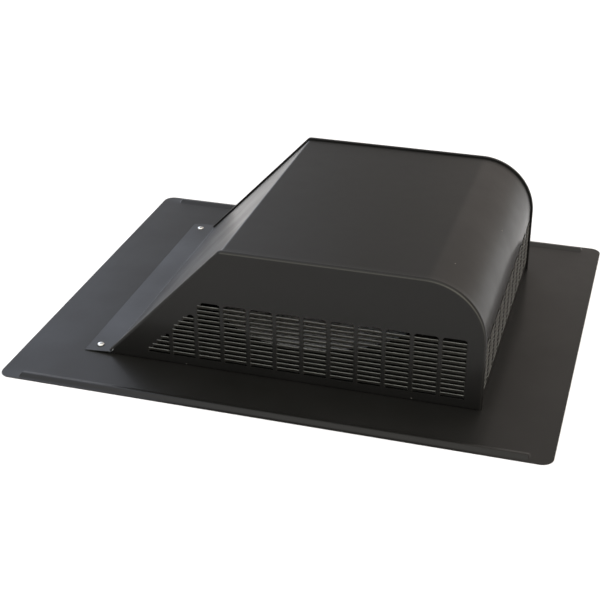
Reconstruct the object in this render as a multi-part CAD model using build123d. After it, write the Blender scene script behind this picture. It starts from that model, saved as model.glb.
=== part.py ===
from math import atan2, cos, floor, radians, sin, tan
import os

from build123d import *

# A slant-back static roof vent in painted aluminium sheet: a flat base flange with a round
# throat, a folded hood with a louvred front, two louvred side panels locked to the hood by a
# standing seam, and the rivets that hold them to the flange.
# Frame: origin under the middle of the throat, on the flange's underside, +X down the roof
# towards the louvred front, +Y across, +Z up. Everything is laid out from the throat outwards.

# Driving dimensions, in millimetres and degrees
SHEET = 0.6

THROAT_DIAMETER = 203.0
THROAT_COLLAR_HEIGHT = 12.0
THROAT_BEND_RADIUS = 1.4

HOOD_SIDE_SPACE = 34.5
HOOD_BACK_SPACE = 60.2
HOOD_FRONT_SPACE = 68.5
HOOD_HEIGHT = 113.0
HOOD_SLOPE_RUN = 107.0
HOOD_ROLL_RADIUS = 49.5
HOOD_CREST_RADIUS = 2.2
HOOD_BEND_RADIUS = 1.5

SEAM_HEIGHT = 2.0

FOOT_WIDTH = 19.5
FOOT_RIVET_BACK_DISTANCE = 10.5
FOOT_RIVET_END_DISTANCE = 7.6

FLANGE_BACK_MARGIN = 53.8
FLANGE_FRONT_MARGIN = 65.0
FLANGE_SIDE_MARGIN = 61.0
FLANGE_CORNER_RADIUS = 10.0

BEAD_EDGE_DISTANCE = 7.0
BEAD_END_DISTANCE = 18.0
BEAD_HALF_WIDTH = 5.0
BEAD_CREST_HALF_WIDTH = 0.8
BEAD_HEIGHT = 2.4

TURNED_FLANGE_WIDTH = 12.0
TURNED_FLANGE_RIVETS = 3

LOUVRE_SILL = 8.0
BLADE_PITCH = 4.36
TOP_CELL = 3.0
BLADE_SLIT = 0.2
BLADE_TILT = 34.0
BLADE_STAND_OUT = 0.6
COLUMN_WIDTH = 20.3
COLUMN_TOP_RADIUS = 2.6
SIDE_COLUMN_GAP = 2.97
SIDE_FRONT_MARGIN = 15.0
SIDE_SLOPE_MARGIN = 21.0
SIDE_ROLL_OVERLAP = 3.7
FRONT_COLUMN_GAP = 5.8
FRONT_END_MARGIN = 8.0
FRONT_ROLL_DISTANCE = 4.0

RIVET_SHANK_DIAMETER = 3.2
RIVET_HEAD_DIAMETER = 6.4
RIVET_HEAD_HEIGHT = 1.2
RIVET_DIMPLE_DIAMETER = 1.9
RIVET_DIMPLE_DEPTH = 0.5

# Clearances and allowances
SEAM_SIDE_CLEARANCE = 1.3
SEAM_TOP_CLEARANCE = 0.3
CORNER_CLEARANCE = 1.0
RIVET_CLEARANCE = 0.1
SHORTEST_CELL = 3.5
BLADE_ROOT = 0.3
CUT_OVERRUN = 1.0
LARGEST_FILLET_SHARE = 0.45

# The hood's place around the throat
THROAT_RADIUS = THROAT_DIAMETER / 2
SEAT_Z = SHEET
TOP_Z = SEAT_Z + HOOD_HEIGHT
SLOPE = atan2(HOOD_HEIGHT, HOOD_SLOPE_RUN)
HOOD_BACK_X = -THROAT_RADIUS - HOOD_BACK_SPACE
HOOD_FRONT_X = THROAT_RADIUS + HOOD_FRONT_SPACE
FOOT_BACK_X = HOOD_BACK_X - FOOT_WIDTH

# The seam across the vent, from the panel's outer face inwards, and the hood inside it
SIDE_Y = THROAT_RADIUS + HOOD_SIDE_SPACE
CHANNEL_Y = SIDE_Y - SHEET
UPTURN_Y = CHANNEL_Y - SEAM_SIDE_CLEARANCE
LEG_Y = UPTURN_Y - SHEET - SEAM_SIDE_CLEARANCE
SEAM_INNER_Y = LEG_Y - SHEET
HOOD_INSET = SEAM_HEIGHT
FRONT_FACE_X = HOOD_FRONT_X - HOOD_INSET

# The turned-in flanges that stand on the base
PANEL_FLANGE_Y = SIDE_Y - TURNED_FLANGE_WIDTH
FRONT_FLANGE_X = FRONT_FACE_X - TURNED_FLANGE_WIDTH

# The height at which the hood's front begins to roll back
ROLL_START_Z = TOP_Z - HOOD_INSET - SHEET - HOOD_ROLL_RADIUS


def slope_x(inset, z):
    """Where the back slope, moved in by inset, stands at the height z."""
    return HOOD_BACK_X + inset / sin(SLOPE) + (z - SEAT_Z) / tan(SLOPE)


def slab(face, low_y, high_y):
    """A face in the XZ plane, drawn out between two places across the vent."""
    return Pos(0, high_y, 0) * extrude(face, high_y - low_y)


def box_between(low, high):
    """A box given by two opposite corners."""
    size = [b - a for a, b in zip(low, high)]
    middle = [(a + b) / 2 for a, b in zip(low, high)]
    return Pos(*middle) * Box(*size)


def spread(low, high, count):
    """Places spread evenly over a length, each in the middle of its share."""
    share = (high - low) / count
    return [low + share * (index + 0.5) for index in range(count)]


def hood_corners(inset):
    """The corners of the hood's side view, moved in by inset, from the back round to the front."""
    top = TOP_Z - inset
    front = HOOD_FRONT_X - inset
    return [(slope_x(inset, SEAT_Z), SEAT_Z), (slope_x(inset, top), top), (front, top), (front, SEAT_Z)]


def hood_radii(inset):
    """The radii of the crest and of the rolled front, given for the hood's inside and grown outwards."""
    growth = HOOD_INSET + SHEET - inset
    return [HOOD_CREST_RADIUS + growth, HOOD_ROLL_RADIUS + growth]


def hood_face(inset):
    """The hood's side view, moved in by inset everywhere but at its foot."""
    corners = hood_corners(inset)
    outline = FilletPolyline(*corners, radius=hood_radii(inset)) + Line(corners[-1], corners[0])
    return Plane.XZ * make_face(outline)


def rounded_slab(inset, low_y, high_y, radius):
    """The hood's side view as a slab, with its rim rounded on both sides."""
    block = slab(hood_face(inset), low_y, high_y)
    thickness = high_y - low_y
    rim = block.edges().filter_by(lambda edge: edge.bounding_box().size.Y < thickness / 2)
    return fillet(rim.filter_by(lambda edge: edge.center().Z > SEAT_Z + radius), radius)


def cell_top(row):
    """The height of a louvre cell's top, rows counted from 1 at the sill."""
    return SEAT_Z + LOUVRE_SILL + row * BLADE_PITCH


def column_cells(left, right, highest, left_limit):
    """The left ends of one column's louvre cells, from the sill up, cut short by a sloping limit.

    Each cell holds a blade but the topmost, which is lower and open.
    """
    count = 1 + floor((highest - TOP_CELL - cell_top(0)) / BLADE_PITCH)
    ends = [max(left, left_limit(cell_top(row))) for row in range(1, count + 1)]
    return [end for end in ends if right - end >= SHORTEST_CELL]


def column_hole(ends, right):
    """The hole of one louvre column in the XZ plane: a stack of cells with stepped left ends."""
    top = cell_top(len(ends) - 1) + TOP_CELL
    points = [(right, cell_top(0)), (right, top), (ends[-1], top)]
    for row in range(len(ends) - 1, 0, -1):
        if ends[row] != ends[row - 1]:
            points += [(ends[row], cell_top(row)), (ends[row - 1], cell_top(row))]
    points.append((ends[0], cell_top(0)))
    face = make_face(Polyline(*points, close=True))
    top_corners = face.vertices().filter_by(lambda corner: corner.Y > top - TOP_CELL / 2)
    radius = min(COLUMN_TOP_RADIUS, LARGEST_FILLET_SHARE * (right - ends[-1]))
    return Plane.XZ * fillet(top_corners, radius)


def blade(left, right, top):
    """One louvre blade: its top edge stands out of the sheet's face at y = 0, its foot is pushed in."""
    chord = BLADE_PITCH - BLADE_SLIT
    strip = Pos(0, 0, -chord / 2) * Box(right - left + 2 * BLADE_ROOT, SHEET, chord)
    return Pos((left + right) / 2, SHEET / 2 - BLADE_STAND_OUT, top) * Rot(X=BLADE_TILT) * strip


def louvres(columns, highest, left_limit):
    """The holes and the blades of a louvre field whose outer face lies at y = 0, facing -Y."""
    holes = []
    blades = []
    for left, right in columns:
        ends = column_cells(left, right, highest, left_limit)
        if not ends:
            continue
        holes.append(slab(column_hole(ends, right), -CUT_OVERRUN, SHEET + CUT_OVERRUN))
        blades += [blade(end, right, cell_top(row)) for row, end in enumerate(ends[:-1], start=1)]
    return holes, blades


def side_columns():
    """The left and right ends of a side panel's louvre columns, counted back from the front."""
    first = HOOD_FRONT_X - SIDE_FRONT_MARGIN
    pitch = COLUMN_WIDTH + SIDE_COLUMN_GAP
    count = floor((first - HOOD_BACK_X) / pitch)
    rights = [first - index * pitch for index in range(count)]
    return [(right - COLUMN_WIDTH, right) for right in rights]


def front_columns():
    """The left and right ends of the front's louvre columns, centred on the vent."""
    pitch = COLUMN_WIDTH + FRONT_COLUMN_GAP
    count = floor((2 * (SIDE_Y - FRONT_END_MARGIN) + FRONT_COLUMN_GAP) / pitch)
    lefts = [(index - count / 2) * pitch + FRONT_COLUMN_GAP / 2 for index in range(count)]
    return [(left, left + COLUMN_WIDTH) for left in lefts]


def foot_rivet_places():
    """The two rivets that hold the hood's foot to the flange."""
    x = FOOT_BACK_X + FOOT_RIVET_BACK_DISTANCE
    y = UPTURN_Y - FOOT_RIVET_END_DISTANCE
    return [(x, -y), (x, y)]


def inner_rivet_places():
    """The rivets inside the hood, along the turned-in flanges of the panels and of the front."""
    side_y = (CHANNEL_Y + PANEL_FLANGE_Y) / 2
    front_x = (FRONT_FACE_X - SHEET + FRONT_FLANGE_X) / 2
    along = spread(slope_x(TURNED_FLANGE_WIDTH, SEAT_Z), FRONT_FLANGE_X, TURNED_FLANGE_RIVETS)
    across = spread(-PANEL_FLANGE_Y, PANEL_FLANGE_Y, TURNED_FLANGE_RIVETS)
    sides = [(x, side * side_y) for side in (-1, 1) for x in along]
    return sides + [(front_x, y) for y in across]


def rivet_hole(place):
    """A hole for a rivet's shank, up through the flange and the sheet that lies on it."""
    radius = RIVET_SHANK_DIAMETER / 2 + RIVET_CLEARANCE
    depth = SEAT_Z + SHEET + 2 * CUT_OVERRUN
    return Pos(*place, (SEAT_Z + SHEET) / 2) * Cylinder(radius, depth)


def rivet(place):
    """A blind rivet: a domed head with the dimple of its mandrel, and a shank set flush below."""
    seat = SEAT_Z + SHEET
    crown = seat + RIVET_HEAD_HEIGHT
    head = RIVET_HEAD_DIAMETER / 2
    shank = RIVET_SHANK_DIAMETER / 2
    dimple = RIVET_DIMPLE_DIAMETER / 2
    dimple_floor = crown - RIVET_DIMPLE_DEPTH
    shoulder = (dimple + (head - dimple) * sin(radians(45)), seat + RIVET_HEAD_HEIGHT * cos(radians(45)))
    outline = (
        Polyline((dimple, crown), (dimple, dimple_floor), (0, dimple_floor), (0, 0))
        + Polyline((0, 0), (shank, 0), (shank, seat), (head, seat))
        + ThreePointArc((head, seat), shoulder, (dimple, crown))
    )
    return Pos(*place, 0) * revolve(Plane.XZ * make_face(outline), Axis.Z)


def bead(crest, floor_z):
    """A straight ridge with coned ends, centred on the flange, from floor_z up to its crest."""
    flare = (BEAD_HALF_WIDTH - BEAD_CREST_HALF_WIDTH) / BEAD_HEIGHT
    foot = BEAD_CREST_HALF_WIDTH + (crest - floor_z) * flare
    corners = [(0, floor_z), (foot, floor_z), (BEAD_CREST_HALF_WIDTH, crest), (0, crest)]
    half = Plane.XZ * make_face(Polyline(*corners, close=True))
    inset = BEAD_END_DISTANCE + BEAD_HALF_WIDTH
    start = FOOT_BACK_X - FLANGE_BACK_MARGIN + inset
    stop = HOOD_FRONT_X + FLANGE_FRONT_MARGIN - inset
    ridge = Pos(start, 0, 0) * Rot(Z=90) * extrude(half + mirror(half, about=Plane.YZ), stop - start)
    cone = revolve(half, Axis.Z)
    return ridge + [Pos(start, 0, 0) * cone, Pos(stop, 0, 0) * cone]


def make_throat_collar():
    """The throat's collar, drawn up out of the flange with a small bend."""
    outer = THROAT_RADIUS + SHEET
    top = SEAT_Z + THROAT_COLLAR_HEIGHT
    bend = THROAT_BEND_RADIUS + SHEET
    root = THROAT_RADIUS + bend
    turn = cos(radians(45))
    under = (root - bend * turn, bend - bend * turn)
    over = (root - THROAT_BEND_RADIUS * turn, bend - THROAT_BEND_RADIUS * turn)
    outline = (
        ThreePointArc((root, 0), under, (THROAT_RADIUS, bend))
        + Polyline((THROAT_RADIUS, bend), (THROAT_RADIUS, top), (outer, top), (outer, bend))
        + ThreePointArc((outer, bend), over, (root, SHEET))
        + Line((root, SHEET), (root, 0))
    )
    return revolve(Plane.XZ * make_face(outline), Axis.Z)


def make_base_flange():
    """The flat flange with its two stiffening beads, its throat and its rivet holes."""
    back = FOOT_BACK_X - FLANGE_BACK_MARGIN
    front = HOOD_FRONT_X + FLANGE_FRONT_MARGIN
    half_width = SIDE_Y + FLANGE_SIDE_MARGIN
    outline = RectangleRounded(front - back, 2 * half_width, FLANGE_CORNER_RADIUS)
    mouth = Circle(THROAT_RADIUS + THROAT_BEND_RADIUS + SHEET)
    flange = extrude(Pos((back + front) / 2, 0, 0) * outline - mouth, SHEET) + make_throat_collar()
    slant = atan2(BEAD_HEIGHT, BEAD_HALF_WIDTH - BEAD_CREST_HALF_WIDTH)
    crest = SEAT_Z + BEAD_HEIGHT
    bead_y = half_width - BEAD_EDGE_DISTANCE
    for y in (-bead_y, bead_y):
        flange = flange + Pos(0, y, 0) * bead(crest, SHEET / 2)
        flange = flange - Pos(0, y, 0) * bead(crest - SHEET / cos(slant), -CUT_OVERRUN)
    return flange - [rivet_hole(place) for place in foot_rivet_places() + inner_rivet_places()]


def hood_section():
    """The hood's bent sheet from the side: foot, back slope, top, rolled front and turned-in flange."""
    foot_top = SEAT_Z + SHEET
    path = FilletPolyline(
        (FOOT_BACK_X, foot_top),
        (slope_x(HOOD_INSET, foot_top), foot_top),
        *hood_corners(HOOD_INSET)[1:],
        (FRONT_FLANGE_X, SEAT_Z),
        radius=[HOOD_BEND_RADIUS, *hood_radii(HOOD_INSET), HOOD_BEND_RADIUS],
    )
    return Plane.XZ * make_face(offset(path, amount=SHEET, side=Side.RIGHT, closed=True))


def make_hood_cover():
    """The hood: one folded sheet whose side edges turn up into the seams, louvred at the front."""
    hood = slab(hood_section(), -UPTURN_Y, UPTURN_Y)
    turned_up = hood_face(SHEET + SEAM_TOP_CLEARANCE) - hood_face(HOOD_INSET + SHEET / 2)
    for low_y in (-UPTURN_Y, UPTURN_Y - SHEET):
        hood = hood + slab(turned_up, low_y, low_y + SHEET)
    flange_end_y = PANEL_FLANGE_Y - CORNER_CLEARANCE
    notch_top = SEAT_Z + SHEET + CORNER_CLEARANCE
    for low_y, high_y in ((-SIDE_Y, -flange_end_y), (flange_end_y, SIDE_Y)):
        hood = hood - box_between(
            (FRONT_FLANGE_X - CORNER_CLEARANCE, low_y, 0),
            (FRONT_FACE_X - SHEET - CORNER_CLEARANCE, high_y, notch_top),
        )
    holes, blades = louvres(front_columns(), ROLL_START_Z - FRONT_ROLL_DISTANCE, lambda z: -SIDE_Y)
    place = Pos(FRONT_FACE_X, 0, 0) * Rot(Z=90)
    hood = hood - [place * hole for hole in holes]
    hood = hood + [place * item for item in blades]
    return hood - [rivet_hole(spot) for spot in foot_rivet_places() + inner_rivet_places()]


def make_side_panel():
    """The panel at -Y: a louvred wall, folded over the hood's edge at its rim, turned in at its foot."""
    rim_radius = (SIDE_Y - SEAM_INNER_Y) * LARGEST_FILLET_SHARE
    panel = rounded_slab(0, -SIDE_Y, -SEAM_INNER_Y, rim_radius)
    panel = panel - slab(hood_face(SHEET), -CHANNEL_Y, -LEG_Y)
    leg_inset = HOOD_INSET - SEAM_TOP_CLEARANCE
    panel = panel - slab(hood_face(leg_inset), -LEG_Y - SHEET / 2, -SEAM_INNER_Y + CUT_OVERRUN)
    foot_top = SEAT_Z + SHEET + SEAM_TOP_CLEARANCE
    relief_end = slope_x(HOOD_INSET + CUT_OVERRUN, foot_top)
    panel = panel - box_between((FOOT_BACK_X, -CHANNEL_Y, 0), (relief_end, 0, foot_top))
    panel = panel + box_between(
        (slope_x(TURNED_FLANGE_WIDTH / 2, SEAT_Z), -CHANNEL_Y, SEAT_Z),
        (FRONT_FACE_X - SHEET - CORNER_CLEARANCE, -PANEL_FLANGE_Y, SEAT_Z + SHEET),
    )
    highest = ROLL_START_Z + SIDE_ROLL_OVERLAP
    holes, blades = louvres(side_columns(), highest, lambda z: slope_x(SIDE_SLOPE_MARGIN, z))
    place = Pos(0, -SIDE_Y, 0)
    panel = panel - [place * hole for hole in holes]
    panel = panel + [place * item for item in blades]
    return panel - [rivet_hole(spot) for spot in inner_rivet_places()]


def main():
    """Build every piece and write each to its own file."""
    left_panel = make_side_panel()
    parts = {
        "base_flange": make_base_flange(),
        "hood_cover": make_hood_cover(),
        "left_side_panel": left_panel,
        "right_side_panel": mirror(left_panel, about=Plane.XZ),
        "foot_rivets": Compound([rivet(place) for place in foot_rivet_places()]),
        "inner_rivets": Compound([rivet(place) for place in inner_rivet_places()]),
    }
    os.makedirs("parts", exist_ok=True)
    for name, shape in parts.items():
        export_step(shape, f"parts/{name}.step")


if __name__ == "__main__":
    main()
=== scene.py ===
"""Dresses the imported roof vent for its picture: painted sheet, lanced louvres, folded seams and rivets.

Every sheet is built as one skin, the side that is seen, and then given its thickness. Sizes are in
millimetres, as in the solids, and become metres where a point enters a mesh. The frame is the solids'
own: +X down the roof towards the louvred front, +Y across it, +Z up, origin under the throat.
"""

import logging
import math
from collections.abc import Callable, Mapping, Sequence
from dataclasses import dataclass
from enum import Enum
from typing import Any

import bmesh
import bpy
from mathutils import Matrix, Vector
from mathutils.geometry import delaunay_2d_cdt


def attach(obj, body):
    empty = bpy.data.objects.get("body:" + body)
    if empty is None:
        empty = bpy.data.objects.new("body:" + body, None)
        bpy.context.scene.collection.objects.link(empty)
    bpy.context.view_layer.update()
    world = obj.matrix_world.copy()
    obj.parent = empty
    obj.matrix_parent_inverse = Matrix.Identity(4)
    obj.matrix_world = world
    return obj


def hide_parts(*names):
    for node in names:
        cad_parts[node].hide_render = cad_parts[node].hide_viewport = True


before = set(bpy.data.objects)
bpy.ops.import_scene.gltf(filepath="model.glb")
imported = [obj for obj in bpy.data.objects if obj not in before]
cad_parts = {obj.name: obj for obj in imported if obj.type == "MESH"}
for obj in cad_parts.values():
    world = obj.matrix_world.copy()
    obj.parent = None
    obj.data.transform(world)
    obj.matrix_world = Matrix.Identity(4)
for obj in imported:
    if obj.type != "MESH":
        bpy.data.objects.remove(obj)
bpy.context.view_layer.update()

LOG = logging.getLogger("roof_vent")

MM = 0.001
BODY = "root"

WELD_DISTANCE = 0.002 * MM
SHARP_ANGLE = math.radians(32.0)
FLAT_PATCH_PRECISION = 1e-5
# Name of the point attribute for worn paint. It is laid on the rim's fold and below the louvre sills, where
# it also paints in highlights.
WEAR_AND_HIGHLIGHT = "rubbed"
NOISE_LOW = 0.3
NOISE_HIGH = 0.7

Point = tuple[float, float]
Span = tuple[float, float]
Light = tuple[float, float, float, float]


class Slot(Enum):
    """The record's material slots."""

    PAINT = "black_paint"
    METAL = "bare_aluminium"


class Side(Enum):
    """The two sides of the vent, by the sign of Y."""

    LEFT = -1
    RIGHT = 1


def linear(colour: str) -> tuple[float, float, float, float]:
    """Turn an sRGB hex colour into linear light.

    Args:
        colour: Six hex digits after a hash sign.

    Returns:
        Red, green, blue and an alpha of one.
    """
    shares = [int(colour[start : start + 2], 16) / 255 for start in (1, 3, 5)]
    light = [s / 12.92 if s <= 0.04045 else ((s + 0.055) / 1.055) ** 2.4 for s in shares]
    return light[0], light[1], light[2], 1.0


def add(
    tree: bpy.types.NodeTree, kind: str, inputs: Mapping[Any, Any] | None = None, **settings: Any
) -> bpy.types.Node:
    """Add a node, set its properties, and fill or link its inputs.

    Args:
        tree: The tree that gets the node.
        kind: Blender's name for the kind of node.
        inputs: By a socket's name or number, a plain value, a socket, or a node whose first output is meant.
        settings: Properties of the node itself.

    Returns:
        The new node.
    """
    node = tree.nodes.new(kind)
    for name, value in settings.items():
        setattr(node, name, value)
    for key, value in (inputs or {}).items():
        if isinstance(value, bpy.types.Node):
            value = value.outputs[0]
        if isinstance(value, bpy.types.NodeSocket):
            tree.links.new(value, node.inputs[key])
        else:
            node.inputs[key].default_value = value
    return node


def blank_finish(name: str) -> tuple[bpy.types.Material, bpy.types.NodeTree]:
    """Start a material with an empty tree.

    Args:
        name: The material's name.

    Returns:
        The material and its tree.
    """
    finish = bpy.data.materials.new(name)
    finish.use_nodes = True
    finish.node_tree.nodes.clear()
    return finish, finish.node_tree


def arc(centre: Point, radius: float, start: float, stop: float, steps: int) -> list[Point]:
    """Points along a circular arc.

    Args:
        centre: The arc's centre.
        radius: Its radius.
        start: The angle of its first point, in radians.
        stop: The angle of its last point, in radians.
        steps: The number of equal steps between them.

    Returns:
        The points, both ends included.
    """
    angles = [start + (stop - start) * step / steps for step in range(steps + 1)]
    return [(centre[0] + radius * math.cos(a), centre[1] + radius * math.sin(a)) for a in angles]


def rounded(corners: Sequence[Point], radii: Sequence[float], steps: int, support: float) -> list[Point]:
    """A line through corners, each rounded by an arc and with a point kept close to each end of the arc.

    Args:
        corners: The line's first point, its corners and its last point.
        radii: One radius for each corner between the ends.
        steps: The number of steps in each arc.
        support: How far the extra points stand from the arcs' ends, so that shading stays flat beyond them.

    Returns:
        The points along the line.
    """
    line = [corners[0]]
    for before, corner, after, radius in zip(corners, corners[1:], corners[2:], radii):
        inward = (Vector(before) - Vector(corner)).normalized()
        onward = (Vector(after) - Vector(corner)).normalized()
        half = inward.angle(onward) / 2
        reach = radius / math.tan(half)
        centre = Vector(corner) + (inward + onward).normalized() * (radius / math.sin(half))
        first = Vector(corner) + inward * reach - centre
        turn = first.angle_signed(Vector(corner) + onward * reach - centre)
        start = math.atan2(first.y, first.x)
        line.append(tuple(Vector(corner) + inward * (reach + support)))
        line += arc(tuple(centre), radius, start, start - turn, steps)
        line.append(tuple(Vector(corner) + onward * (reach + support)))
    return line + [corners[-1]]


def left_normals(line: Sequence[Point]) -> list[Point]:
    """The unit normals to the left of a line, at each of its points."""
    normals = []
    for index in range(len(line)):
        before = Vector(line[max(index - 1, 0)])
        after = Vector(line[min(index + 1, len(line) - 1)])
        along = (after - before).normalized()
        normals.append((-along.y, along.x))
    return normals


def circle(centre: Point, radius: float, steps: int) -> list[Point]:
    """Points round a circle, without the last one twice."""
    return arc(centre, radius, 0.0, math.tau, steps)[:-1]


def anticlockwise(loop: Sequence[Point]) -> list[Point]:
    """A loop of points, turned round if it runs clockwise."""
    twice_area = sum(a[0] * b[1] - b[0] * a[1] for a, b in zip(loop, [*loop[1:], loop[0]]))
    return list(loop) if twice_area > 0 else list(reversed(loop))


class Skin:
    """The seen side of a sheet, gathered patch by patch and welded where the patches meet."""

    def __init__(self) -> None:
        """Start with no patches."""
        self.mesh = bmesh.new()
        self.rubbed = self.mesh.verts.layers.float.new(WEAR_AND_HIGHLIGHT)

    def point(self, place: Sequence[float], rubbed: float = 0.0) -> bmesh.types.BMVert:
        """Add one point, given in millimetres, and its share of worn paint, which also paints in a highlight.
        """
        vert = self.mesh.verts.new(Vector(place) * MM)
        vert[self.rubbed] = rubbed
        return vert

    def grid(
        self,
        rows: Sequence[Sequence[Sequence[float]]],
        closed: bool = False,
        rubbed: Sequence[Sequence[float]] = (),
    ) -> None:
        """Add a patch of quads between rows of points.

        Args:
            rows: Rows with the same number of points each.
            closed: Whether each row runs round to its own start.
            rubbed: At each point, the share of worn paint, which also paints in a highlight, where it is.
        """
        wear_and_highlight_shares = rubbed or [[0.0] * len(row) for row in rows]
        verts = [[self.point(*spot) for spot in zip(row, shares)] for row, shares in zip(rows, wear_and_highlight_shares)]
        count = len(verts[0])
        for low, high in zip(verts, verts[1:]):
            for index in range(count if closed else count - 1):
                following = (index + 1) % count
                self.mesh.faces.new((low[index], low[following], high[following], high[index]))

    def cap(self, loop: Sequence[Sequence[float]]) -> None:
        """Close a loop with one face."""
        self.mesh.faces.new([self.point(place) for place in loop])

    def pierced(
        self,
        outer: Sequence[Point],
        holes: Sequence[Sequence[Point]],
        place: Callable[[Point], Sequence[float]],
        wear_and_highlight_width: float = 0.0,
    ) -> None:
        """Add a flat patch with holes, cut as a blank and then put in its place.

        Args:
            outer: The blank's outline.
            holes: The outlines of its holes, each of which starts and ends on its sill.
            place: Where a point of the blank goes.
            wear_and_highlight_width: How wide a strip below the holes' sills has its paint worn to bare
                metal, painted as a highlight along each sill, where it is.
        """
        loops = [anticlockwise(loop) for loop in (outer, *holes)]
        points: list[Vector] = []
        faces: list[list[int]] = []
        for loop in loops:
            faces.append(list(range(len(points), len(points) + len(loop))))
            points += [Vector(spot) for spot in loop]
        lines: list[tuple[int, int]] = []
        sills: set[int] = set()
        # A worn strip below each sill, painted in as the sill's highlight.
        if wear_and_highlight_width:
            for loop, face in zip(loops[1:], faces[1:]):
                sill = min(height for _, height in loop)
                corners = [index for index in face if points[index].y == sill]
                sills.update(corners)
                lines.append((len(points), len(points) + 1))
                points += [points[index] - Vector((0.0, wear_and_highlight_width)) for index in corners]
        found = delaunay_2d_cdt(points, lines, faces, 1, FLAT_PATCH_PRECISION)
        spots, triangles, origins, sources = found[0], found[2], found[3], found[5]
        wear_and_highlight_shares = [float(not sills.isdisjoint(origin)) for origin in origins]
        verts = [self.point(place(tuple(spot)), share) for spot, share in zip(spots, wear_and_highlight_shares)]
        for triangle, source in zip(triangles, sources):
            if max(source) == 0:
                self.mesh.faces.new([verts[index] for index in triangle])

    def sheet(
        self, name: str, thickness: float, outside: Vector, finishes: Sequence[bpy.types.Material]
    ) -> bpy.types.Object:
        """Weld the patches, give them a thickness on the hidden side, and make an object of them.

        Args:
            name: The object's name.
            thickness: The sheet's thickness.
            outside: A direction, in which the largest face that looks along it either way must look.
            finishes: The finish of its faces, and of its cut edges where they have their own.

        Returns:
            The finished object, with no modifier left on it.
        """
        bmesh.ops.remove_doubles(self.mesh, verts=self.mesh.verts, dist=WELD_DISTANCE)
        loose = [vert for vert in self.mesh.verts if not vert.link_faces]
        bmesh.ops.delete(self.mesh, geom=loose, context="VERTS")
        bmesh.ops.recalc_face_normals(self.mesh, faces=self.mesh.faces)
        guide = max(self.mesh.faces, key=lambda face: face.calc_area() * abs(face.normal.dot(outside)))
        if guide.normal.dot(outside) < 0:
            bmesh.ops.reverse_faces(self.mesh, faces=self.mesh.faces)
        data = bpy.data.meshes.new(name)
        self.mesh.to_mesh(data)
        self.mesh.free()
        piece = bpy.data.objects.new(name, data)
        bpy.context.scene.collection.objects.link(piece)
        for finish in finishes:
            data.materials.append(finish)
        thicken = piece.modifiers.new("thickness", "SOLIDIFY")
        thicken.thickness = thickness * MM
        thicken.offset = -1.0
        thicken.use_even_offset = True
        thicken.use_quality_normals = True
        thicken.material_offset_rim = len(finishes) - 1
        return settled(piece)


def settled(piece: bpy.types.Object) -> bpy.types.Object:
    """Turn an object's modifiers into plain mesh, smooth but for its sharp edges.

    Args:
        piece: An object with modifiers.

    Returns:
        The same object, with the result as its mesh and no modifiers.
    """
    depsgraph = bpy.context.evaluated_depsgraph_get()
    data = bpy.data.meshes.new_from_object(piece.evaluated_get(depsgraph), depsgraph=depsgraph)
    piece.modifiers.clear()
    old = piece.data
    piece.data = data
    bpy.data.meshes.remove(old)
    data.name = piece.name
    work = bmesh.new()
    work.from_mesh(data)
    for face in work.faces:
        face.smooth = True
    for edge in work.edges:
        edge.smooth = len(edge.link_faces) == 2 and edge.calc_face_angle() < SHARP_ANGLE
    work.to_mesh(data)
    work.free()
    return piece


def joined(name: str, pieces: Sequence[bpy.types.Object]) -> bpy.types.Object:
    """Join meshes that belong to one sheet into one object.

    Args:
        name: The name of the result.
        pieces: The objects, of which the first stays.

    Returns:
        The joined object.
    """
    with bpy.context.temp_override(active_object=pieces[0], selected_editable_objects=list(pieces)):
        bpy.ops.object.join()
    pieces[0].name = name
    pieces[0].data.name = name
    return pieces[0]


def hand_over(piece: bpy.types.Object, slot: Slot, *nodes: str) -> None:
    """Put a finished piece on the vent in place of the solids it stands for, and report it."""
    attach(piece, BODY)
    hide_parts(*nodes)
    piece.data.calc_loop_triangles()
    LOG.info("%s: %d triangles, for %s", piece.name, len(piece.data.loop_triangles), ", ".join(nodes))


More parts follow.
